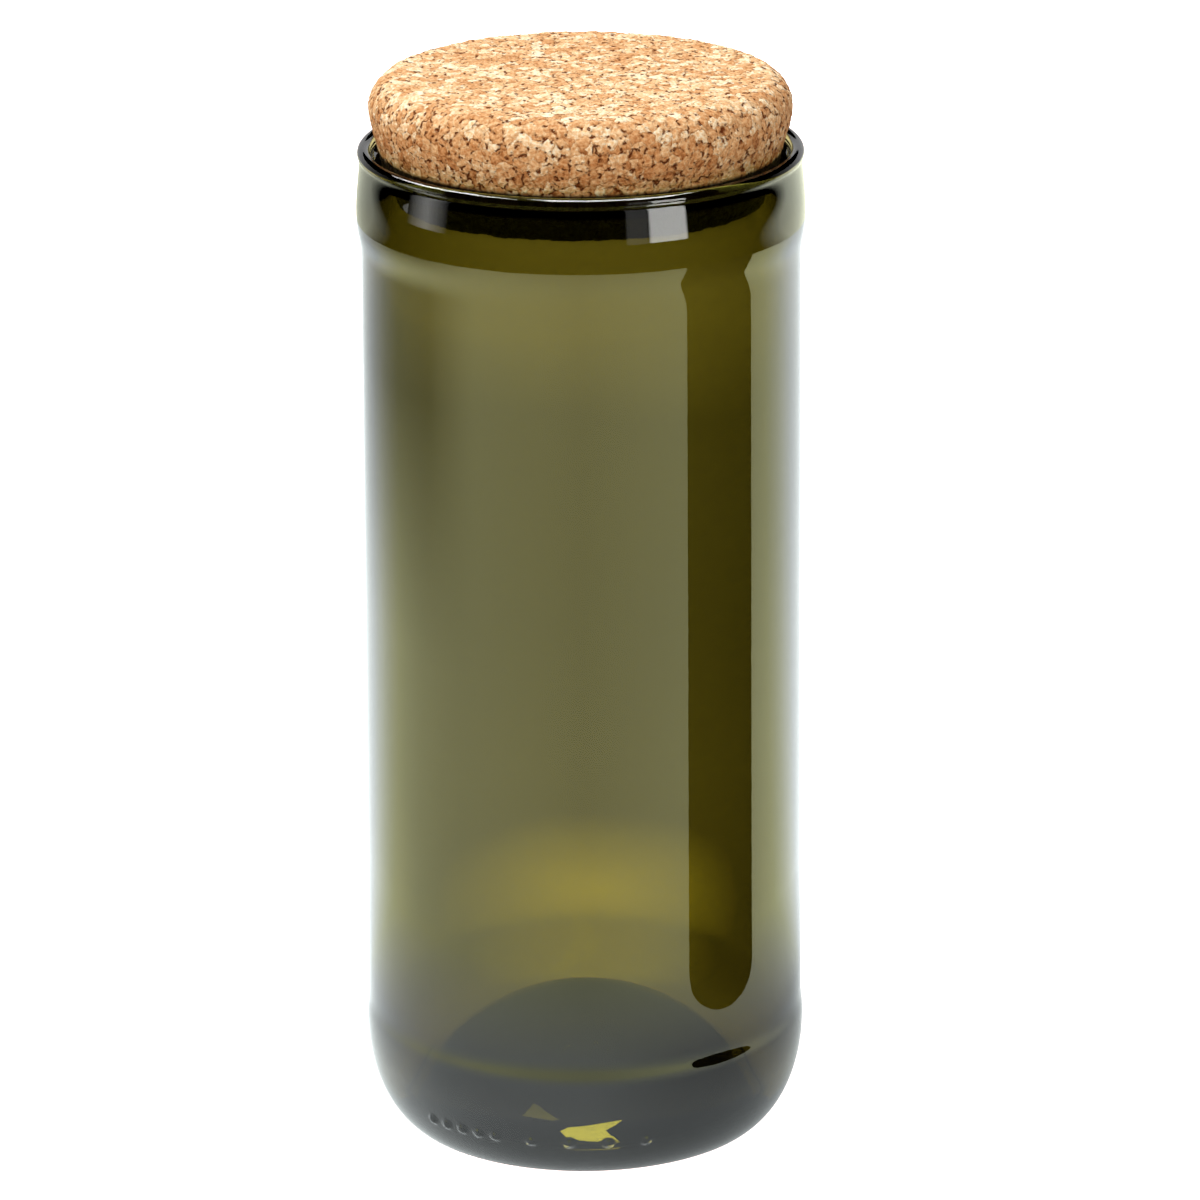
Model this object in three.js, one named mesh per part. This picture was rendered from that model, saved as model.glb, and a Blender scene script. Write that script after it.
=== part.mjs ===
// Storage jar cut from the lower part of a straight-sided wine bottle, closed by a cork stopper.
// Millimetres, +Z up. The origin is the middle of the foot ring, on the surface that it stands on.
import * as THREE from 'three';

// Glass, outside: foot ring, rounded heel, sunk label panel, shoulder band and cut lip.
const FOOT_INNER_RADIUS = 28.6;
const HEEL_RADIUS = 38.2;
const HEEL_HEIGHT = 17.5;
const HEEL_ROUND_WIDTH = 10.5;
const HEEL_ROUND_DEPTH = 18.9;
const PANEL_LOW_RADIUS = 37.88;
const PANEL_LOW_HEIGHT = 23.0;
const PANEL_HIGH_RADIUS = 37.2;
const PANEL_HIGH_HEIGHT = 154.5;
const SHOULDER_RADIUS = 38.0;
const SHOULDER_HEIGHT = 163.0;
const NOTCH_RADIUS = 37.4;
const NOTCH_HEIGHT = 171.7;

// The lip is a round bead, melted smooth after the bottle was cut.
const LIP_RING_RADIUS = 36.6;
const LIP_RING_HEIGHT = 173.0;
const LIP_BEAD_RADIUS = 1.1;
const LIP_BEAD_START = -0.28 * Math.PI;
const LIP_BEAD_END = 1.1 * Math.PI;

// Glass, inside: a straight bore that flares into the lip, and a floor pushed up in the middle.
const BORE_RADIUS = 33.5;
const BORE_LOW_HEIGHT = 11.5;
const FLARE_HEIGHT = 169.6;
const FLARE_PULL = 1.4;
const PUNT_TOP_INSIDE = 21.5;
const PUNT_FOOT_INSIDE = 5.0;
const PUNT_FOOT_RADIUS = 30.0;
const PUNT_MEETS_WALL_RADIUS = 29.5;
const PUNT_TOP_BELOW = 17.5;
const TROUGH_WALL_PULL = 5.0;
const TROUGH_FLOOR_PULL = 1.8;

// Cork stopper: a tapered plug with a rounded top edge.
const CORK_FOOT_HEIGHT = 165.5;
const CORK_FOOT_ROUND = 1.2;
const CORK_SEAT_HEIGHT = 170.0;
const CORK_SEAT_RADIUS = 33.2;
const CORK_TAPER = 0.26;
const CORK_EDGE_HEIGHT = 179.0;
const CORK_EDGE_PULL = 4.2;
const CORK_TOP_HEIGHT = 186.1;
const CORK_TOP_RADIUS = 31.0;
const CORK_TOP_PULL = 2.7;
const CORK_CROWN = 0.2;

// How finely round shapes are cut into flats.
const SIDES = 64;
const DOME_STEPS = 8;
const HEEL_STEPS = 8;
const STEP_STEPS = 6;
const BEAD_STEPS = 9;
const CURVE_STEPS = 6;

const GLASS_COLOUR = 0x4a4708;
const CORK_COLOUR = 0xc79a6c;

// Splits a curve into points, leaving out its first one where the profile is already there.
function pointsAlong(curve, steps) {
  return curve.getPoints(steps).slice(1);
}

// An S-shaped change of radius between two heights, upright at both ends.
function easeRadius(from, to, steps) {
  const middle = (from.y + to.y) / 2;
  return pointsAlong(
    new THREE.CubicBezierCurve(
      from,
      new THREE.Vector2(from.x, middle),
      new THREE.Vector2(to.x, middle),
      to,
    ),
    steps,
  );
}

// The height of a round dome at a radius, from its top and the ring that it stands on.
function domeHeight(radius, top, footRadius, footHeight) {
  const rise = top - footHeight;
  const ball = (footRadius * footRadius + rise * rise) / (2 * rise);
  return top - ball + Math.sqrt(ball * ball - radius * radius);
}

// Points of a dome between two radii, both ends included.
function domePoints(fromRadius, toRadius, top, footRadius, footHeight) {
  const points = [];
  for (let i = 0; i <= DOME_STEPS; i++) {
    const radius = THREE.MathUtils.lerp(fromRadius, toRadius, i / DOME_STEPS);
    points.push(new THREE.Vector2(radius, domeHeight(radius, top, footRadius, footHeight)));
  }
  return points;
}

// Turns a closed profile of radius and height about the upright axis into a named solid.
function turned(name, profile, colour, roughness) {
  const geometry = new THREE.LatheGeometry(profile, SIDES);
  geometry.rotateX(Math.PI / 2);
  const material = new THREE.MeshStandardMaterial({ color: colour, roughness, metalness: 0 });
  const mesh = new THREE.Mesh(geometry, material);
  mesh.name = name;
  return mesh;
}

// The outside of the glass, from the middle of its underside out and up to the lip.
function glassOutside() {
  const heel = new THREE.EllipseCurve(
    HEEL_RADIUS - HEEL_ROUND_WIDTH,
    HEEL_HEIGHT,
    HEEL_ROUND_WIDTH,
    HEEL_ROUND_DEPTH,
    -Math.asin(HEEL_HEIGHT / HEEL_ROUND_DEPTH),
    0,
  );
  const heelTop = new THREE.Vector2(HEEL_RADIUS, HEEL_HEIGHT);
  const panelLow = new THREE.Vector2(PANEL_LOW_RADIUS, PANEL_LOW_HEIGHT);
  const panelHigh = new THREE.Vector2(PANEL_HIGH_RADIUS, PANEL_HIGH_HEIGHT);
  const shoulder = new THREE.Vector2(SHOULDER_RADIUS, SHOULDER_HEIGHT);
  const shoulderPull = new THREE.Vector2(SHOULDER_RADIUS, (SHOULDER_HEIGHT + NOTCH_HEIGHT) / 2);
  const notch = new THREE.Vector2(NOTCH_RADIUS, NOTCH_HEIGHT);
  return [
    ...domePoints(0, FOOT_INNER_RADIUS, PUNT_TOP_BELOW, FOOT_INNER_RADIUS, 0),
    ...heel.getPoints(HEEL_STEPS),
    ...easeRadius(heelTop, panelLow, STEP_STEPS),
    panelHigh,
    ...easeRadius(panelHigh, shoulder, STEP_STEPS),
    ...pointsAlong(new THREE.QuadraticBezierCurve(shoulder, shoulderPull, notch), CURVE_STEPS),
  ];
}

// The lip bead and the inside of the glass, from the lip down to the middle of the floor.
function glassInside() {
  const bead = new THREE.EllipseCurve(
    LIP_RING_RADIUS,
    LIP_RING_HEIGHT,
    LIP_BEAD_RADIUS,
    LIP_BEAD_RADIUS,
    LIP_BEAD_START,
    LIP_BEAD_END,
  );
  const beadEnd = bead.getPoint(1);
  const boreTop = new THREE.Vector2(BORE_RADIUS, FLARE_HEIGHT);
  const flare = new THREE.CubicBezierCurve(
    beadEnd,
    new THREE.Vector2(beadEnd.x, beadEnd.y - FLARE_PULL),
    new THREE.Vector2(boreTop.x, boreTop.y + FLARE_PULL),
    boreTop,
  );
  const floor = domePoints(
    PUNT_MEETS_WALL_RADIUS,
    0,
    PUNT_TOP_INSIDE,
    PUNT_FOOT_RADIUS,
    PUNT_FOOT_INSIDE,
  );
  const downTheDome = floor[0].clone().sub(floor[1]).setLength(TROUGH_FLOOR_PULL);
  const boreLow = new THREE.Vector2(BORE_RADIUS, BORE_LOW_HEIGHT);
  const trough = new THREE.CubicBezierCurve(
    boreLow,
    new THREE.Vector2(BORE_RADIUS, BORE_LOW_HEIGHT - TROUGH_WALL_PULL),
    floor[0].clone().add(downTheDome),
    floor[0],
  );
  return [
    ...bead.getPoints(BEAD_STEPS),
    ...pointsAlong(flare, CURVE_STEPS),
    boreLow,
    ...pointsAlong(trough, CURVE_STEPS),
    ...floor.slice(1),
  ];
}

// The cork's radius on its tapered side.
function corkRadius(height) {
  return CORK_SEAT_RADIUS + CORK_TAPER * (height - CORK_SEAT_HEIGHT);
}

// The cork, from the middle of its underside out and up to the middle of its top.
function corkProfile() {
  const footSide = CORK_FOOT_HEIGHT + CORK_FOOT_ROUND;
  const footRadius = corkRadius(footSide);
  const footEdge = new THREE.EllipseCurve(
    footRadius - CORK_FOOT_ROUND,
    footSide,
    CORK_FOOT_ROUND,
    CORK_FOOT_ROUND,
    -Math.PI / 2,
    0,
  );
  const upTheSide = new THREE.Vector2(CORK_TAPER, 1).setLength(CORK_EDGE_PULL);
  const edgeStart = new THREE.Vector2(corkRadius(CORK_EDGE_HEIGHT), CORK_EDGE_HEIGHT);
  const topEdge = new THREE.CubicBezierCurve(
    edgeStart,
    edgeStart.clone().add(upTheSide),
    new THREE.Vector2(CORK_TOP_RADIUS + CORK_TOP_PULL, CORK_TOP_HEIGHT),
    new THREE.Vector2(CORK_TOP_RADIUS, CORK_TOP_HEIGHT),
  );
  return [
    new THREE.Vector2(0, CORK_FOOT_HEIGHT),
    ...footEdge.getPoints(CURVE_STEPS),
    edgeStart,
    ...pointsAlong(topEdge, BEAD_STEPS),
    new THREE.Vector2(0, CORK_TOP_HEIGHT + CORK_CROWN),
  ];
}

const jar = new THREE.Group();
jar.add(turned('glass_jar', [...glassOutside(), ...glassInside()], GLASS_COLOUR, 0.05));
jar.add(turned('cork_stopper', corkProfile(), CORK_COLOUR, 0.9));

export default jar;
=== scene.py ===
import math

import bpy
import numpy as np
from mathutils import Matrix, Vector, noise


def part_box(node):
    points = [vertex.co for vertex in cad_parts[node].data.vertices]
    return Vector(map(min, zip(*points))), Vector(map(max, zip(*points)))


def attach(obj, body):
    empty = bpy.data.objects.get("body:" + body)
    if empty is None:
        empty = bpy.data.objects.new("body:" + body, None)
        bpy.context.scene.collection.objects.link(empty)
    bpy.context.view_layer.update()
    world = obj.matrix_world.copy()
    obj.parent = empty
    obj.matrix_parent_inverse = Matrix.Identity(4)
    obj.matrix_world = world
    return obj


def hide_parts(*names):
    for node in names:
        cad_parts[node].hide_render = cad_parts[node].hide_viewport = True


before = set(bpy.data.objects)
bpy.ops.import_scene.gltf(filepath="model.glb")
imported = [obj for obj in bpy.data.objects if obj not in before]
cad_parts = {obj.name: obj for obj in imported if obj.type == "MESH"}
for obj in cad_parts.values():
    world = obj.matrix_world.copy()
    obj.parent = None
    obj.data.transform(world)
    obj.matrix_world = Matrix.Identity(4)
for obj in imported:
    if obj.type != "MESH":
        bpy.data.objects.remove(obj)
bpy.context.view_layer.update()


# Glass jar
# The lower part of an olive-green wine bottle, blown in a mould and cut off above its shoulder band.
# The cut was melted into a round lip. The floor is pushed up in the middle, and the jar stands on
# the ring that is left around it.
MM = 0.001


def curve_points(start, pull_start, pull_end, end, steps):
    """Points along a smooth curve between two ends, without the first one."""
    t = np.linspace(0, 1, steps + 1)[1:, None]
    ends = np.array([start, pull_start, pull_end, end])
    shares = np.hstack([(1 - t) ** 3, 3 * (1 - t) ** 2 * t, 3 * (1 - t) * t**2, t**3])
    return shares @ ends


def change_of_radius(start, end, steps):
    """An S-shaped step between two heights, upright at both ends."""
    middle = (start[1] + end[1]) / 2
    return curve_points(start, (start[0], middle), (end[0], middle), end, steps)


def round_points(centre, width, height, turn_from, turn_to, steps):
    """Points along part of an ellipse, both ends included."""
    turn = np.linspace(turn_from, turn_to, steps + 1)
    return np.column_stack([centre[0] + width * np.cos(turn), centre[1] + height * np.sin(turn)])


def dome_points(radii, top, foot_radius, foot_height):
    """Points of a ball-shaped dome at the given radii."""
    rise = top - foot_height
    ball = (foot_radius**2 + rise**2) / (2 * rise)
    return np.column_stack([radii, top - ball + np.sqrt(ball**2 - np.square(radii))])


def straight_points(start, end, steps):
    """Points along a straight line, without the first one."""
    return np.linspace(start, end, steps + 1)[1:]


def turned_piece(name, profile, angles, shape=None):
    """A smooth mesh turned about the upright axis from a profile that starts and ends on it."""
    rows = profile[1:-1]
    radius = np.repeat(rows[:, :1], len(angles), axis=1)
    height = np.repeat(rows[:, 1:], len(angles), axis=1)
    if shape is not None:
        radius, height = shape(radius, height)
    points = np.stack([radius * np.sin(angles), -radius * np.cos(angles), height], axis=-1)
    count, across = radius.shape
    ends = [(0, 0, profile[0, 1]), (0, 0, profile[-1, 1])]
    index = np.arange(count * across).reshape(count, across)
    beside = np.roll(index, -1, axis=1)
    faces = np.stack([index[:-1], beside[:-1], beside[1:], index[1:]], axis=-1).reshape(-1, 4).tolist()
    first, last = count * across, count * across + 1
    faces += [(first, b, a) for a, b in zip(index[0].tolist(), beside[0].tolist())]
    faces += [(last, a, b) for a, b in zip(index[-1].tolist(), beside[-1].tolist())]
    mesh = bpy.data.meshes.new(name)
    mesh.from_pydata(np.vstack([points.reshape(-1, 3), ends]).tolist(), [], faces)
    mesh.shade_smooth()
    piece = bpy.data.objects.new(name, mesh)
    bpy.context.scene.collection.objects.link(piece)
    return piece


heel_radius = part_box("glass_jar")[1].x
heel_height = 17.5 * MM
heel_round = (10.5 * MM, 18.9 * MM)
heel_steps = 64
foot_inner_radius = 28.6 * MM
panel_low = (37.88 * MM, 23.0 * MM)
panel_high = (37.2 * MM, 154.5 * MM)
shoulder = (38.0 * MM, 163.0 * MM)
notch = (37.4 * MM, 171.7 * MM)
lip_ring = (36.6 * MM, 173.0 * MM)
lip_bead_radius = 1.1 * MM
bore_radius = 33.5 * MM
bore_heights = (11.5 * MM, 169.6 * MM)
flare_pull = 1.4 * MM
punt_top_inside = 21.5 * MM
punt_foot_inside = (30.0 * MM, 5.0 * MM)
punt_meets_wall_radius = 29.5 * MM
punt_top_below = 17.5 * MM
punt_steps = 16
trough_pulls = (5.0 * MM, 1.8 * MM)

heel_centre = (heel_radius - heel_round[0], heel_height)
heel_start = -math.asin(heel_height / heel_round[1])
shoulder_pull = (shoulder[0], 0.6 * shoulder[1] + 0.4 * notch[1])
notch_pull = (notch[0], 0.25 * shoulder[1] + 0.75 * notch[1])
glass_outside = np.vstack([
    dome_points(np.linspace(0, foot_inner_radius, punt_steps + 1), punt_top_below, foot_inner_radius, 0),
    round_points(heel_centre, *heel_round, heel_start, 0, heel_steps),
    change_of_radius((heel_radius, heel_height), panel_low, 16),
    straight_points(panel_low, panel_high, 24),
    change_of_radius(panel_high, shoulder, 14),
    curve_points(shoulder, shoulder_pull, notch_pull, notch, 14),
    change_of_radius(notch, (lip_ring[0] + lip_bead_radius, lip_ring[1]), 10),
])
lip = round_points(lip_ring, lip_bead_radius, lip_bead_radius, 0, 1.1 * math.pi, 40)[1:]
flare_start = lip[-1]
bore_low = (bore_radius, bore_heights[0])
bore_high = (bore_radius, bore_heights[1])
floor_radii = np.linspace(punt_meets_wall_radius, 0, 19)
inner_floor = dome_points(floor_radii, punt_top_inside, *punt_foot_inside)
down_the_dome = inner_floor[0] - inner_floor[1]
down_the_dome *= trough_pulls[1] / np.linalg.norm(down_the_dome)
glass_inside = np.vstack([
    lip,
    curve_points(
        flare_start,
        flare_start - (0, flare_pull),
        (bore_high[0], bore_high[1] + flare_pull),
        bore_high,
        12,
    ),
    straight_points(bore_high, bore_low, 40),
    curve_points(
        bore_low,
        (bore_low[0], bore_low[1] - trough_pulls[0]),
        inner_floor[0] + down_the_dome,
        inner_floor[0],
        12,
    ),
    inner_floor[1:],
])

# Small round mould dots stand in a row on the front of the heel: five close together, then wider apart.
dot_height = 7.2 * MM
dot_radius = 1.25 * MM
dot_rise = 0.55 * MM
dot_droop = 0.6 * heel_round[0] / heel_round[1]
close_pitch = math.radians(5.2)
first_dot = math.radians(-46)
dot_steps = [0, 1, 2, 3, 4, 6, 8, 10, 12]
dot_angles = [first_dot + close_pitch * step for step in dot_steps]
across_dot = np.linspace(-1.2, 1.2, 9) * dot_radius / heel_radius
column_angles = np.concatenate(
    [np.linspace(-math.pi, math.pi, 240, endpoint=False)] + [angle + across_dot for angle in dot_angles]
)
column_angles = np.unique(column_angles.round(5))

# Blown glass is slightly uneven, more so on the inside, where no mould touched it.
wave_height = 32 * MM
wave_low, wave_low_fade = 14 * MM, 18 * MM
wave_high, wave_high_fade = 162 * MM, 14 * MM
outer_wave = {"depth": 0.02 * MM, "spread": 1.3, "seed": 3.7}
inner_wave = {"depth": 0.16 * MM, "spread": 1.8, "seed": 11.3}


def wave(angle, height, depth, spread, seed):
    """How far the uneven glass stands out at a place."""
    place = (math.sin(angle) * spread, math.cos(angle) * spread, height / wave_height + seed)
    return depth * noise.noise(Vector(place))


def shape_glass(radius, height):
    """Adds the glass's slight waviness and the mould dots to the turned form."""
    profile = glass_outside[1:]
    fade_in = np.clip((height[:, 0] - wave_low) / wave_low_fade, 0, 1)
    fade = fade_in * np.clip((wave_high - height[:, 0]) / wave_high_fade, 0, 1)
    for row in np.flatnonzero(fade):
        kind = outer_wave if row < len(profile) else inner_wave
        for column, angle in enumerate(column_angles):
            radius[row, column] += fade[row] * wave(angle, height[row, column], **kind)
    along = np.concatenate([[0], np.cumsum(np.linalg.norm(np.diff(profile, axis=0), axis=1))])
    heel_rows = slice(punt_steps, punt_steps + heel_steps + 1)
    at_dot = punt_steps + np.argmin(np.abs(profile[heel_rows, 1] - dot_height))
    for angle in dot_angles:
        away = np.hypot(
            (column_angles - angle)[None, :] * profile[heel_rows, :1],
            (along[heel_rows] - along[at_dot])[:, None],
        )
        rise = dot_rise * np.clip(1 - (away / dot_radius) ** 2, 0, 1) ** 1.5
        radius[heel_rows] += rise
        height[heel_rows] -= rise * dot_droop
    return radius, height


glass = turned_piece("jar_glass", np.vstack([glass_outside, glass_inside]), column_angles, shape_glass)

glass_finish = bpy.data.materials.new("olive_bottle_glass")
glass_finish.use_nodes = True
nodes, links = glass_finish.node_tree.nodes, glass_finish.node_tree.links
surface = nodes["Principled BSDF"]
surface.inputs["Base Color"].default_value = (1, 1, 1, 1)
surface.inputs["Roughness"].default_value = 0.0
surface.inputs["IOR"].default_value = 1.52
surface.inputs["Transmission Weight"].default_value = 1.0
ripple = nodes.new("ShaderNodeTexNoise")
ripple.inputs["Scale"].default_value = 90
ripple.inputs["Detail"].default_value = 2
ripple_skin = nodes.new("ShaderNodeBump")
ripple_skin.inputs["Strength"].default_value = 0.04
ripple_skin.inputs["Distance"].default_value = 0.05 * MM
links.new(nodes.new("ShaderNodeTexCoord").outputs["Object"], ripple.inputs["Vector"])
links.new(ripple.outputs[0], ripple_skin.inputs["Height"])
links.new(ripple_skin.outputs[0], surface.inputs["Normal"])
tint = nodes.new("ShaderNodeVolumeAbsorption")
tint.inputs["Color"].default_value = (0.5, 0.48, 0.1, 1)
tint.inputs["Density"].default_value = 800.0
links.new(tint.outputs["Volume"], nodes["Material Output"].inputs["Volume"])
glass.data.materials.append(glass_finish)

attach(glass, "root")
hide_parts("glass_jar")


# Cork stopper
# A tapered plug pressed from cork granules and sanded, with a rounded top edge.
# It wedges in the mouth and stands proud of the lip.
cork_foot_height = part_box("cork_stopper")[0].z
cork_top_height = 186.1 * MM
cork_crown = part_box("cork_stopper")[1].z - cork_top_height
cork_foot_round = 1.2 * MM
cork_seat = (33.2 * MM, 170.0 * MM)
cork_taper = 0.26
cork_edge_height = 179.0 * MM
cork_edge_pull = 4.2 * MM
cork_top_radius = 31.0 * MM
cork_top_pull = 2.7 * MM


def cork_radius(height):
    """The radius of the tapered side."""
    return cork_seat[0] + cork_taper * (height - cork_seat[1])


foot_side = cork_foot_height + cork_foot_round
foot_centre = (cork_radius(foot_side) - cork_foot_round, foot_side)
edge_start = np.array([cork_radius(cork_edge_height), cork_edge_height])
up_the_side = np.array([cork_taper, 1.0]) * cork_edge_pull / math.hypot(cork_taper, 1)
top_edge = (cork_top_radius, cork_top_height)
cork_profile = np.vstack([
    [(0, cork_foot_height)],
    round_points(foot_centre, cork_foot_round, cork_foot_round, -math.pi / 2, 0, 6),
    straight_points((cork_radius(foot_side), foot_side), edge_start, 32),
    curve_points(
        edge_start,
        edge_start + up_the_side,
        (cork_top_radius + cork_top_pull, cork_top_height),
        top_edge,
        26,
    ),
    straight_points(top_edge, (0, cork_top_height + cork_crown), 76),
])
cork = turned_piece("cork_plug", cork_profile, np.linspace(-math.pi, math.pi, 520, endpoint=False))


def granule_nodes(tree, place):
    """Splits space into cork granules; gives each one's own random colour and the way to its edge."""
    add, link = tree.nodes.new, tree.links.new
    bent = place
    for scale, reach in ((330, 1.6 * MM), (1100, 0.9 * MM)):
        wobble = add("ShaderNodeTexNoise")
        wobble.inputs["Scale"].default_value = scale
        wobble.inputs["Detail"].default_value = 2
        link(place, wobble.inputs["Vector"])
        centred = add("ShaderNodeVectorMath")
        centred.operation = "SUBTRACT"
        link(wobble.outputs["Color"], centred.inputs[0])
        centred.inputs[1].default_value = (0.5, 0.5, 0.5)
        moved = add("ShaderNodeVectorMath")
        moved.operation = "MULTIPLY_ADD"
        link(centred.outputs[0], moved.inputs[0])
        moved.inputs[1].default_value = (reach, reach, reach)
        link(bent, moved.inputs[2])
        bent = moved.outputs[0]
    granule = add("ShaderNodeTexVoronoi")
    edge = add("ShaderNodeTexVoronoi")
    edge.feature = "DISTANCE_TO_EDGE"
    for texture in (granule, edge):
        texture.inputs["Scale"].default_value = 560
        link(bent, texture.inputs["Vector"])
    return granule.outputs["Color"], edge.outputs["Distance"], bent


def ranged(tree, value, low, high, out_low, out_high):
    """Maps a value from one range to another, held at both ends."""
    node = tree.nodes.new("ShaderNodeMapRange")
    tree.links.new(value, node.inputs["Value"])
    for name, number in zip(("From Min", "From Max", "To Min", "To Max"), (low, high, out_low, out_high)):
        node.inputs[name].default_value = number
    return node.outputs["Result"]


def combined(tree, operation, first, *others):
    """Joins values one after another by a sum, product or other step of arithmetic."""
    result = first
    for other in others:
        node = tree.nodes.new("ShaderNodeMath")
        node.operation = operation
        for socket, value in zip(node.inputs, (result, other)):
            if isinstance(value, (int, float)):
                socket.default_value = value
            else:
                tree.links.new(value, socket)
        result = node.outputs[0]
    return result


def mixed(tree, share, first, second):
    """One colour blended into another by a share from 0 to 1."""
    node = tree.nodes.new("ShaderNodeMix")
    node.data_type = "RGBA"
    tree.links.new(share, node.inputs["Factor"])
    for name, colour in (("A", first), ("B", second)):
        if isinstance(colour, tuple):
            node.inputs[name].default_value = (*colour, 1)
        else:
            tree.links.new(colour, node.inputs[name])
    return node.outputs["Result"]


def three_parts(tree, triple):
    """The three numbers that a colour or a place holds."""
    node = tree.nodes.new("ShaderNodeSeparateXYZ")
    tree.links.new(triple, node.inputs[0])
    return node.outputs


def noise_value(tree, place, scale, detail):
    """A smooth random value about 0.5 that varies over space."""
    node = tree.nodes.new("ShaderNodeTexNoise")
    node.inputs["Scale"].default_value = scale
    node.inputs["Detail"].default_value = detail
    tree.links.new(place, node.inputs["Vector"])
    return node.outputs[0]


def gap_nodes(tree, place, edge):
    """Marks the gaps that open here and there between granules, 1 in a gap and 0 away from it."""
    beside_edge = ranged(tree, edge, 0.03, 0.17, 1, 0)
    open_here = ranged(tree, noise_value(tree, place, 1000, 1), 0.555, 0.635, 0, 1)
    return combined(tree, "MULTIPLY", beside_edge, open_here)


def pit_nodes(tree, place):
    """Marks the few places where a granule has dropped out, 1 at a pit's middle and 0 away from it."""
    cell = tree.nodes.new("ShaderNodeTexVoronoi")
    cell.inputs["Scale"].default_value = 130
    tree.links.new(place, cell.inputs["Vector"])
    picked = combined(tree, "GREATER_THAN", three_parts(tree, cell.outputs["Color"])[0], 0.5)
    inside = ranged(tree, cell.outputs["Distance"], 0.05, 0.11, 1, 0)
    return combined(tree, "MULTIPLY", picked, inside)


# The relief of the granules is cut into the mesh itself.
relief = bpy.data.node_groups.new("cork_relief", "GeometryNodeTree")
relief.interface.new_socket("Geometry", in_out="INPUT", socket_type="NodeSocketGeometry")
relief.interface.new_socket("Geometry", in_out="OUTPUT", socket_type="NodeSocketGeometry")
relief_in = relief.nodes.new("NodeGroupInput")
relief_out = relief.nodes.new("NodeGroupOutput")
place = relief.nodes.new("GeometryNodeInputPosition").outputs[0]
colour, edge, bent_place = granule_nodes(relief, place)
gap = ranged(relief, edge, 0.0, 0.16, -0.16 * MM, 0.0)
own_height = ranged(relief, three_parts(relief, colour)[1], 0, 1, -0.16 * MM, 0.06 * MM)
roughness = ranged(relief, noise_value(relief, place, 900, 2), 0.25, 0.75, -0.1 * MM, 0.06 * MM)
pit = combined(relief, "MULTIPLY", pit_nodes(relief, bent_place), -0.6 * MM)
depth = combined(relief, "ADD", gap, own_height, pit, roughness)
normal = relief.nodes.new("GeometryNodeInputNormal").outputs[0]
push = relief.nodes.new("ShaderNodeVectorMath")
push.operation = "SCALE"
relief.links.new(normal, push.inputs[0])
relief.links.new(depth, push.inputs["Scale"])
move = relief.nodes.new("GeometryNodeSetPosition")
relief.links.new(relief_in.outputs[0], move.inputs["Geometry"])
relief.links.new(push.outputs[0], move.inputs["Offset"])
relief.links.new(move.outputs[0], relief_out.inputs[0])
cork.modifiers.new("relief", "NODES").node_group = relief
smooth_mesh = cork.data
cork.data = bpy.data.meshes.new_from_object(cork.evaluated_get(bpy.context.evaluated_depsgraph_get()))
cork.modifiers.clear()
bpy.data.meshes.remove(smooth_mesh)
cork.data.name = "cork_plug"

cork_finish = bpy.data.materials.new("pressed_cork")
cork_finish.use_nodes = True
tree = cork_finish.node_tree
surface = tree.nodes["Principled BSDF"]
place = tree.nodes.new("ShaderNodeTexCoord").outputs["Object"]
colour, edge, bent_place = granule_nodes(tree, place)
shades = tree.nodes.new("ShaderNodeValToRGB")
stops = [
    (0.00, (0.260, 0.085, 0.022)),
    (0.25, (0.520, 0.225, 0.078)),
    (0.50, (0.670, 0.360, 0.158)),
    (0.75, (0.820, 0.540, 0.290)),
    (1.00, (0.940, 0.800, 0.570)),
]
while len(shades.color_ramp.elements) < len(stops):
    shades.color_ramp.elements.new(0.5)
for element, (position, shade) in zip(shades.color_ramp.elements, stops):
    element.position = position
    element.color = (*shade, 1)
speckle = noise_value(tree, place, 1700, 3)
height_above_foot = three_parts(tree, place)[2]
random_tone, random_height, _ = three_parts(tree, colour)
own_tone = ranged(tree, random_tone, 0, 1, 0.2, 0.76)
mottle = ranged(tree, speckle, 0.25, 0.75, -0.34, 0.34)
# Painted light: the cork's tone lightens towards the top, where the light falls most.
painted_top_light = ranged(tree, height_above_foot, 179 * MM, 186 * MM, 0.0, 0.17)
tone = combined(tree, "ADD", own_tone, mottle, painted_top_light)
tree.links.new(tone, shades.inputs["Fac"])
# Painted shade: the open gaps and pits between granules are coloured a dark red-brown, as they lie in
# shadow.
gap = gap_nodes(tree, place, edge)
dark_gap = combined(tree, "MAXIMUM", gap, pit_nodes(tree, bent_place))
gap_painted_shade = (0.150, 0.032, 0.004)
cork_shade = mixed(tree, dark_gap, shades.outputs["Color"], gap_painted_shade)
seam = ranged(tree, edge, 0.0, 0.08, 0.88, 1.0)
# Painted shadow: the cork goes near black where it sits down in the mouth, below the lip's crest.
mouth_shadow = ranged(tree, height_above_foot, 173.6 * MM, 174.3 * MM, 0.03, 1.0)
# Painted shade: the cork's side grows darker towards the lip.
low_side_shade = ranged(tree, height_above_foot, 173.0 * MM, 180.0 * MM, 0.78, 1.0)
shade = combined(tree, "MULTIPLY", seam, mouth_shadow, low_side_shade)
darkened = tree.nodes.new("ShaderNodeVectorMath")
darkened.operation = "SCALE"
tree.links.new(cork_shade, darkened.inputs[0])
tree.links.new(shade, darkened.inputs["Scale"])
tree.links.new(darkened.outputs[0], surface.inputs["Base Color"])
surface.inputs["Roughness"].default_value = 0.75
surface.inputs["Specular IOR Level"].default_value = 0.04
domed = combined(tree, "MULTIPLY", ranged(tree, edge, 0.0, 0.16, 0.0, 1.0), 0.3)
standing = combined(tree, "MULTIPLY", random_height, 0.6)
rough = combined(tree, "SUBTRACT", combined(tree, "MULTIPLY", speckle, 1.2), dark_gap)
rough_skin = tree.nodes.new("ShaderNodeBump")
rough_skin.inputs["Strength"].default_value = 0.9
rough_skin.inputs["Distance"].default_value = 0.42 * MM
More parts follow.
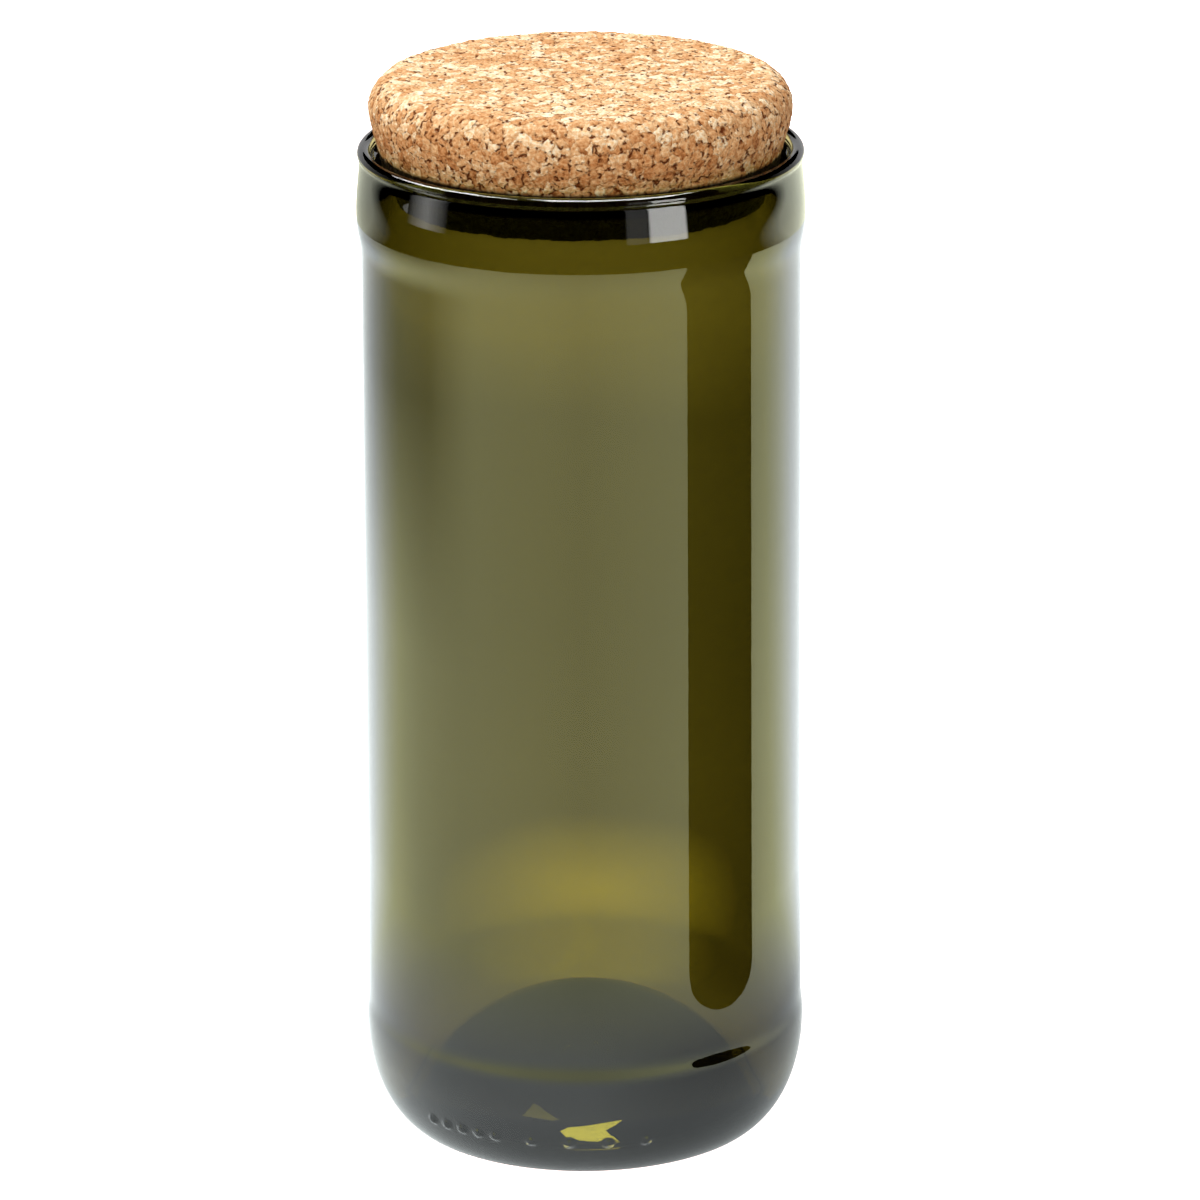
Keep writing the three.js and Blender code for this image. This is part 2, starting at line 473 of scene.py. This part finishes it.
sanded = ranged(tree, height_above_foot, 181 * MM, 186 * MM, 1.0, 0.55)
skin_height = combined(tree, "ADD", domed, standing, rough)
tree.links.new(combined(tree, "MULTIPLY", skin_height, sanded), rough_skin.inputs["Height"])
tree.links.new(rough_skin.outputs[0], surface.inputs["Normal"])
cork.data.materials.clear()
cork.data.materials.append(cork_finish)

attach(cork, "root")
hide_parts("cork_stopper")


# Studio table and cards
# A white table that glows from within, so that no shadow shows on it. Black cards and bright panels stand
# around it out of sight and show only in the glass, as they do where glass is photographed on white.
def stage_sheet(name, corners, faces):
    """A studio piece made of flat faces, with an empty material of its own."""
    mesh = bpy.data.meshes.new(name)
    mesh.from_pydata(corners, [], faces)
    sheet = bpy.data.objects.new(name, mesh)
    bpy.context.scene.collection.objects.link(sheet)
    finish = bpy.data.materials.new(name)
    finish.use_nodes = True
    mesh.materials.append(finish)
    return sheet


def painted(sheet, shade):
    """Gives a studio piece one matt colour."""
    paint = sheet.data.materials[0].node_tree.nodes["Principled BSDF"]
    paint.inputs["Base Color"].default_value = (*shade, 1)
    paint.inputs["Roughness"].default_value = 1.0
    paint.inputs["Specular IOR Level"].default_value = 0.0


def glowing(sheet, shade, strength):
    """Makes a studio piece give off light of one colour."""
    tree = sheet.data.materials[0].node_tree
    tree.nodes.remove(tree.nodes["Principled BSDF"])
    glow = tree.nodes.new("ShaderNodeEmission")
    glow.inputs["Color"].default_value = (*shade, 1)
    glow.inputs["Strength"].default_value = strength
    tree.links.new(glow.outputs[0], tree.nodes["Material Output"].inputs["Surface"])
    return glow


def only_in_gloss(piece):
    """Leaves a card visible in reflections alone."""
    piece.visible_camera = False
    piece.visible_diffuse = False
    piece.visible_transmission = False
    piece.visible_shadow = False


def upright_band(name, away, turns, heights, steps):
    """A piece of upright sheet bent round the jar, between two turns from the camera's side."""
    around = [(away * math.sin(turn), -away * math.cos(turn)) for turn in np.linspace(*turns, steps + 1)]
    corners = [(x, y, height) for height in heights for x, y in around]
    faces = [(i, i + 1, i + steps + 2, i + steps + 1) for i in range(steps)]
    return stage_sheet(name, corners, faces)


table_reach = 6.0
table_corners = [(x * table_reach, y * table_reach, 0) for x, y in ((-1, -1), (1, -1), (1, 1), (-1, 1))]
painted(stage_sheet("table", table_corners, [(0, 1, 2, 3)]), (0.70, 0.55, 0.42))


def level_ring(name, inner, outer, height, steps):
    """A flat ring round the jar at one height."""
    turns = np.linspace(0, 2 * math.pi, steps, endpoint=False)
    corners = [(away * math.sin(t), -away * math.cos(t), height) for away in (inner, outer) for t in turns]
    faces = [(i, (i + 1) % steps, steps + (i + 1) % steps, steps + i) for i in range(steps)]
    return stage_sheet(name, corners, faces)


# Painted shadow: a near-black disc lies under the foot, in place of the shade beneath the jar seen through
# the glass base.
under_jar_radius = 32.0 * MM
under_jar_turns = np.linspace(0, 2 * math.pi, 64, endpoint=False)
shadow_under_jar = stage_sheet(
    "shadow_under_jar",
    [(under_jar_radius * math.sin(t), -under_jar_radius * math.cos(t), 0.02 * MM) for t in under_jar_turns],
    [tuple(range(len(under_jar_turns)))],
)
painted(shadow_under_jar, (0.03, 0.03, 0.03))


def length_of(tree, vector):
    """The length of a vector."""
    node = tree.nodes.new("ShaderNodeVectorMath")
    node.operation = "LENGTH"
    tree.links.new(vector, node.inputs[0])
    return node.outputs["Value"]


def less(tree, vector, amount):
    """A vector with a fixed one taken away."""
    node = tree.nodes.new("ShaderNodeVectorMath")
    node.operation = "SUBTRACT"
    tree.links.new(vector, node.inputs[0])
    node.inputs[1].default_value = amount
    return node.outputs[0]


def only_past_glass(piece):
    """Leaves a sheet of light out of reflections, and keeps it from lighting anything."""
    piece.visible_glossy = False
    piece.visible_diffuse = False
    piece.visible_shadow = False


# The glow is cream before the jar and neutral behind it, and stronger at the sides. One sheet of it is seen
# past and through the glass, with a painted warm pool of light behind the jar and more light at the far
# end.
# The other is seen in the glass, where it falls into painted shade at the far left and is dimmer close to
# the foot.
glow_inner_radius = 31.9 * MM
warm_spot = (0.003, 0.104, 0)
warm_spot_radius = 0.044
warm_spot_level = 6.2


def lay_glow(name, height, in_gloss):
    """A sheet of light that covers the table round the foot."""
    sheet = level_ring(name, glow_inner_radius, table_reach, height, 96)
    glow = glowing(sheet, (1, 1, 1), 1.0)
    tree = sheet.data.materials[0].node_tree
    place = tree.nodes.new("ShaderNodeTexCoord").outputs["Object"]
    away = length_of(tree, place)
    sideways, backwards, _ = three_parts(tree, place)
    share_back = combined(tree, "DIVIDE", backwards, away)
    share_right = combined(tree, "DIVIDE", sideways, away)
    behind = ranged(tree, share_back, 0.3, 0.75, 0, 1)
    beside_foot = ranged(tree, away, 0.085, 0.14, 1, 0)
    back_or_near = combined(tree, "MAXIMUM", behind, beside_foot)
    cream = (0.96, 1.0, 0.58)
    neutral = (0.93, 1.0, 1.0) if in_gloss else (1.05, 0.92, 0.9)
    shade = mixed(tree, back_or_near, cream, neutral)
    aside = ranged(tree, combined(tree, "ABSOLUTE", share_right, 0.0), 0.0, 0.8, 1.85, 2.35)
    dimmer_back = ranged(tree, share_back, 0.6, 0.9, 1.0, 0.85)
    brighter_near = ranged(tree, away, 0.25, 0.4, 1.1, 1.02)
    level = combined(tree, "MULTIPLY", aside, dimmer_back, brighter_near)
    if in_gloss:
        far_out = ranged(tree, away, 0.3, 0.5, 0.0, 0.68)
        on_the_left = ranged(tree, share_right, -0.95, -0.2, 0.98, 0.12)
        not_in_front = ranged(tree, share_back, -0.55, -0.1, 0.1, 1.0)
        far_shade = combined(tree, "MULTIPLY", far_out, on_the_left, not_in_front)
        out_of_shade = combined(tree, "SUBTRACT", 1.0, far_shade)
        rim_fade = ranged(tree, away, 0.57, 0.66, 1.0, 0.6)
        not_near = combined(tree, "SUBTRACT", 1.0, beside_foot)
        far_part = combined(tree, "MULTIPLY", level, out_of_shade, rim_fade, not_near)
        near_level = ranged(tree, share_right, 0.0, 0.9, 1.75, 0.95)
        near_shadow = ranged(tree, away, 0.034, 0.05, 0.7, 1.0)
        near_part = combined(tree, "MULTIPLY", near_level, near_shadow, beside_foot)
        level = combined(tree, "ADD", far_part, near_part)
        only_in_gloss(sheet)
    else:
        foot_fade = ranged(tree, away, 0.05, 0.08, 0.7, 1.0)
        middle_fade = ranged(tree, backwards, 0.17, 0.26, 1.0, 0.8)
        brighter_far = ranged(tree, backwards, 0.42, 0.49, 1.0, 1.9)
        level = combined(tree, "MULTIPLY", level, foot_fade, middle_fade, brighter_far)
        # A painted pool of warm light on the glow behind the jar.
        from_spot = length_of(tree, less(tree, place, warm_spot))
        in_warm_spot = ranged(tree, from_spot, 0.0, warm_spot_radius, 1.0, 0.0)
        level = combined(tree, "ADD", level, combined(tree, "MULTIPLY", in_warm_spot, warm_spot_level))
        shade = mixed(tree, in_warm_spot, shade, (1.05, 0.92, 0.45))
        only_past_glass(sheet)
    tree.links.new(shade, glow.inputs["Color"])
    tree.links.new(level, glow.inputs["Strength"])


lay_glow("table_glow", 0.2 * MM, False)
lay_glow("table_shine", 0.3 * MM, True)

# A dark strip on the table before the foot, seen only through the glass, keeps the glow out of the base.
foot_reach = (31.5 * MM, 60 * MM)
foot_steps = 40
foot_turns = np.linspace(-math.radians(80), math.radians(80), foot_steps + 1)
foot_shade = stage_sheet(
    "foot_shade",
    [(away * math.sin(t), -away * math.cos(t), 0.25 * MM) for away in foot_reach for t in foot_turns],
    [(i, i + 1, i + foot_steps + 2, i + foot_steps + 1) for i in range(foot_steps)],
)
painted(foot_shade, (0.02, 0.02, 0.02))
only_past_glass(foot_shade)
foot_shade.visible_camera = False

# Glowing patches painted on the table under the hollow base stand in for light that the glass gathers
# there: one clear spot and a faint one.
spot_corners = [(-4.3, -12.0), (-3.0, -6.5), (6.2, 0.5), (3.3, -11.0), (6.2, -30.0), (-3.0, -21.0)]
spot_faces = [(0, 1, 3), (1, 2, 3), (0, 3, 5), (3, 4, 5)]
faint_corners = [(-11.0, 4.0), (-9.0, 5.4), (-4.3, 1.8), (-5.6, 0.2)]
for name, corners, faces, strength in (
    ("base_spot", spot_corners, spot_faces, 12.0),
    ("faint_base_spot", faint_corners, [(0, 1, 2, 3)], 2.0),
):
    spot = stage_sheet(name, [(x * MM, y * MM, 0.1 * MM) for x, y in corners], faces)
    glowing(spot, (1, 1, 0.8), strength)
    only_past_glass(spot)

# The dark surround opens into light behind the jar, and so does a black flag below the lip, which keeps
# the table out of the lip's underside.
flag_mark = 43 * MM


def lit_behind(sheet, turns, drift, lean, strengths, shade):
    """Leaves a card black before the jar and lets it brighten between two turns, to a level for each side.

    The turns hold at the flag mark's distance from the axis, drift away from it, and lean by some degrees
    from left to right.
    """
    light = glowing(sheet, shade, 0.0)
    tree = sheet.data.materials[0].node_tree
    place = tree.nodes.new("ShaderNodeTexCoord").outputs["Object"]
    level_place = tree.nodes.new("ShaderNodeVectorMath")
    level_place.operation = "MULTIPLY"
    tree.links.new(place, level_place.inputs[0])
    level_place.inputs[1].default_value = (1, 1, 0)
    away = length_of(tree, level_place.outputs[0])
    sideways, backwards, _ = three_parts(tree, place)
    turn = combined(tree, "ARCTAN2", sideways, combined(tree, "MULTIPLY", backwards, -1.0))
    turn = combined(tree, "ABSOLUTE", turn, 0.0)
    from_mark = combined(tree, "SUBTRACT", away, flag_mark)
    turn = combined(tree, "SUBTRACT", turn, combined(tree, "MULTIPLY", from_mark, drift))
    share_right = combined(tree, "DIVIDE", sideways, away)
    turn = combined(tree, "ADD", turn, combined(tree, "MULTIPLY", share_right, math.radians(lean)))
    opening = ranged(tree, turn, math.radians(turns[0]), math.radians(turns[1]), 0.0, 1.0)
    level = ranged(tree, share_right, -1.0, 1.0, *strengths)
    tree.links.new(combined(tree, "MULTIPLY", opening, level), light.inputs["Strength"])
    only_in_gloss(sheet)


surround = upright_band("dark_surround", 0.66, (-math.pi, math.pi), (0.001, 0.36), 96)
surround.location.y = 0.02
lit_behind(surround, (107, 148), 0.0, 0.0, (0.5, 0.8), (1, 1, 1))
lip_flag = level_ring("lip_flag", 38.3 * MM, 85 * MM, 161.4 * MM, 96)
lit_behind(lip_flag, (62, 77), 19.2, 4.0, (0.95, 1.7), (1, 1.04, 0.82))


# Bright panels: those beside the table show on the shoulder band, each with a small one close by for the
# glass under the lip, and two overhead show as lines along the lip.
def soft_panel(name, away, turns, heights, strength, soft):
    """An upright panel seen only in the glass, fading towards both sides over a share of its width."""
    panel = upright_band(name, away, [math.radians(turn) for turn in turns], heights, 12)
    light = glowing(panel, (1, 1, 0.96), strength)
    tree = panel.data.materials[0].node_tree
    sideways, backwards, _ = three_parts(tree, tree.nodes.new("ShaderNodeTexCoord").outputs["Object"])
    turn = combined(tree, "ARCTAN2", sideways, combined(tree, "MULTIPLY", backwards, -1.0))
    middle = math.radians(sum(turns) / 2)
    half = math.radians(abs(turns[1] - turns[0]) / 2)
    off_middle = combined(tree, "ABSOLUTE", combined(tree, "SUBTRACT", turn, middle), 0.0)
    level = ranged(tree, off_middle, half * (1 - soft), half, strength, 0.0)
    tree.links.new(level, light.inputs["Strength"])
    only_in_gloss(panel)


soft_panel("right_panel", 0.56, (34, 53), (0.09, 0.42), 8.0, 0.15)
soft_panel("right_dim_panel", 0.565, (22, 36), (0.09, 0.42), 0.6, 0.2)
soft_panel("left_panel", 0.56, (-106, -70), (0.07, 0.27), 2.6, 1.0)
under_lip = (165.8 * MM, 170.2 * MM)
soft_panel("right_lip_panel", 43.5 * MM, (19.3, 31.8), under_lip, 8.0, 0.15)
soft_panel("right_dim_lip_panel", 43.6 * MM, (12.6, 19.6), under_lip, 0.6, 0.2)
soft_panel("left_lip_panel", 43.5 * MM, (-58, -41), under_lip, 2.6, 1.0)


def overhead_panel(name, corners, strength):
    """A level panel high over the table that shows only in the glass."""
    panel_height = 1.25
    panel = stage_sheet(name, [(x, y, panel_height) for x, y in corners], [(0, 1, 2, 3)])
    glowing(panel, (1, 1, 1), strength)
    only_in_gloss(panel)


overhead_panel("overhead_right", [(-0.22, -0.40), (-0.22, 0.30), (0.50, 0.50), (0.50, -0.25)], 16.0)
overhead_panel("overhead_left", [(-0.42, -0.35), (-0.42, 0.45), (-0.97, 1.35), (-0.97, 0.60)], 16.0)

# A black card lies on the table to the right and shows as the dark upright strip. Its near end is round.
card_turns = (math.radians(28.3), math.radians(49.8))
card_near, card_far = 0.07, 0.62
card_bow = 0.02
card_height = 2 * MM
card_steps = 24


def card_corner(turn, away):
    """Where a level ray that meets the glass at this turn, and is thrown back, crosses the table."""
    radius = panel_high[0]
    return (
        radius * math.sin(turn) + away * math.sin(2 * turn),
        -radius * math.cos(turn) - away * math.cos(2 * turn),
        card_height,
    )


near_edge = []
far_edge = []
for across in np.linspace(-1, 1, card_steps + 1):
    turn = card_turns[0] + (card_turns[1] - card_turns[0]) * (across + 1) / 2
    near_edge.append(card_corner(turn, card_near + card_bow * (1 - math.sqrt(1 - across**2))))
    far_edge.append(card_corner(turn, card_far))
card_faces = [(i, i + 1, i + card_steps + 2, i + card_steps + 1) for i in range(card_steps)]
side_card = stage_sheet("side_card", near_edge + far_edge, card_faces)
painted(side_card, (0.01, 0.01, 0.01))
only_in_gloss(side_card)

world = bpy.data.worlds.new("studio")
bpy.context.scene.world = world
world.use_nodes = True
world.node_tree.nodes["Background"].inputs["Color"].default_value = (1, 1, 1, 1)
world.node_tree.nodes["Background"].inputs["Strength"].default_value = 0.6
world.cycles_visibility.glossy = False
world.cycles_visibility.transmission = False


# Studio lights
# A wide soft box hangs over the table, to the left and behind. A small one stands high at the front left
# and brings out the granules of the cork.
def soft_box(name, place, aim, width, power):
    """A square area light at a place, turned towards a point."""
    lamp = bpy.data.lights.new(name, "AREA")
    lamp.shape = "SQUARE"
    lamp.size = width
    lamp.energy = power
    box = bpy.data.objects.new(name, lamp)
    box.location = place
    box.rotation_euler = (Vector(aim) - Vector(place)).to_track_quat("-Z", "Y").to_euler()
    box.visible_camera = False
    box.visible_glossy = False
    box.visible_transmission = False
    bpy.context.scene.collection.objects.link(box)


soft_box("overhead_box", (-0.35, 0.35, 1.3), (0, 0, 0.1), 0.9, 13)
soft_box("key_box", (-0.32, -0.8, 0.85), (0, 0, 0.18), 0.2, 4.7)


# Camera
# A long lens a little over a metre away, looking down on the jar from its front, with the jar's axis
# slightly left of the middle of the picture.
camera_distance = 1.12
camera_height_angle = math.radians(18.2)
camera_roll = math.radians(-0.3)
aim_height = 93.17 * MM
focal_pixels = 6500
image_pixels = 1200
axis_left_of_centre = 17
sensor_width = 36.0
camera_data = bpy.data.cameras.new("camera")
camera_data.sensor_width = sensor_width
camera_data.lens = focal_pixels / image_pixels * sensor_width
camera_data.shift_x = axis_left_of_centre / image_pixels
camera = bpy.data.objects.new("camera", camera_data)
camera.location = (
    0,
    -camera_distance * math.cos(camera_height_angle),
    aim_height + camera_distance * math.sin(camera_height_angle),
)
look = Vector((0, math.cos(camera_height_angle), -math.sin(camera_height_angle)))
turn = look.to_track_quat("-Z", "Y").to_matrix()
camera.rotation_euler = (turn @ Matrix.Rotation(camera_roll, 3, "Z")).to_euler()
bpy.context.scene.collection.objects.link(camera)
bpy.context.scene.camera = camera
bpy.context.scene.view_settings.view_transform = "Standard"
